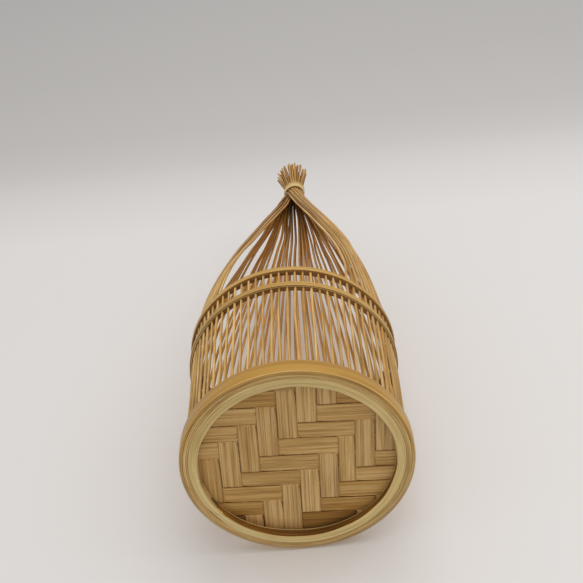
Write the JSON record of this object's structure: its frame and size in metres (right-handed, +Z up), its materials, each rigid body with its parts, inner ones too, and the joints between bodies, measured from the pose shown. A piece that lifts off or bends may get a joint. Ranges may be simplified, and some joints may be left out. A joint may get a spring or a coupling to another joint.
{
  "type": "ikebana basket",
  "caption": "Round flower-arranging basket of upright bamboo rods through drilled hoops on a recessed woven base, open at the front and tied into a tuft above.",
  "frame": {"origin": "centre of the base, on the surface that the basket stands on", "axes": "+Z runs up the basket from the base to the tied tuft, the flower opening faces -Y, and +X is to the right for someone who looks into the opening"},
  "size_m": [0.1208, 0.1208, 0.322],
  "materials": {
    "outer_skin": "smooth bamboo skin, satin",
    "thin_hoops": "split bamboo edge, matte",
    "pale_hoop": "pale planed bamboo, satin",
    "weave": "flat bamboo strip with lengthwise grain, matte",
    "rings": "smooth bamboo skin outside, darker cut edges",
    "rods": "round shaved bamboo rod, satin",
    "tie": "thin flat bamboo binding strip"
  },
  "bodies": {
    "root": {"base_outer_band": "outer_skin", "base_thin_hoop_outer": "thin_hoops", "base_thin_hoop_middle": "thin_hoops", "base_thin_hoop_inner": "thin_hoops", "base_inner_hoop": "pale_hoop", "panel_keeper_hoop": "pale_hoop", "weave_strip_across_01": "weave", "weave_strip_across_02": "weave", "weave_strip_across_03": "weave", "weave_strip_across_04": "weave", "weave_strip_across_05": "weave", "weave_strip_across_06": "weave", "weave_strip_across_07": "weave", "weave_strip_across_08": "weave", "weave_strip_across_09": "weave", "weave_strip_across_10": "weave", "weave_strip_along_01": "weave", "weave_strip_along_02": "weave", "weave_strip_along_03": "weave", "weave_strip_along_04": "weave", "weave_strip_along_05": "weave", "weave_strip_along_06": "weave", "weave_strip_along_07": "weave", "weave_strip_along_08": "weave", "weave_strip_along_09": "weave", "weave_strip_along_10": "weave", "mid_ring": "rings", "upper_ring": "rings", "front_rod_01": "rods", "front_rod_02": "rods", "front_rod_03": "rods", "front_rod_04": "rods", "front_rod_05": "rods", "front_rod_06": "rods", "front_rod_07": "rods", "front_rod_08": "rods", "front_rod_09": "rods", "front_rod_10": "rods", "front_rod_11": "rods", "front_rod_12": "rods", "front_rod_13": "rods", "front_rod_14": "rods", "front_rod_15": "rods", "front_rod_16": "rods", "front_rod_17": "rods", "right_front_rods": "rods", "right_side_rods": "rods", "right_back_rods": "rods", "back_rods_right": "rods", "back_rods_left": "rods", "left_back_rods": "rods", "left_side_rods": "rods", "left_front_rods": "rods", "tie_strip": "tie"}
  },
  "joints": []
}
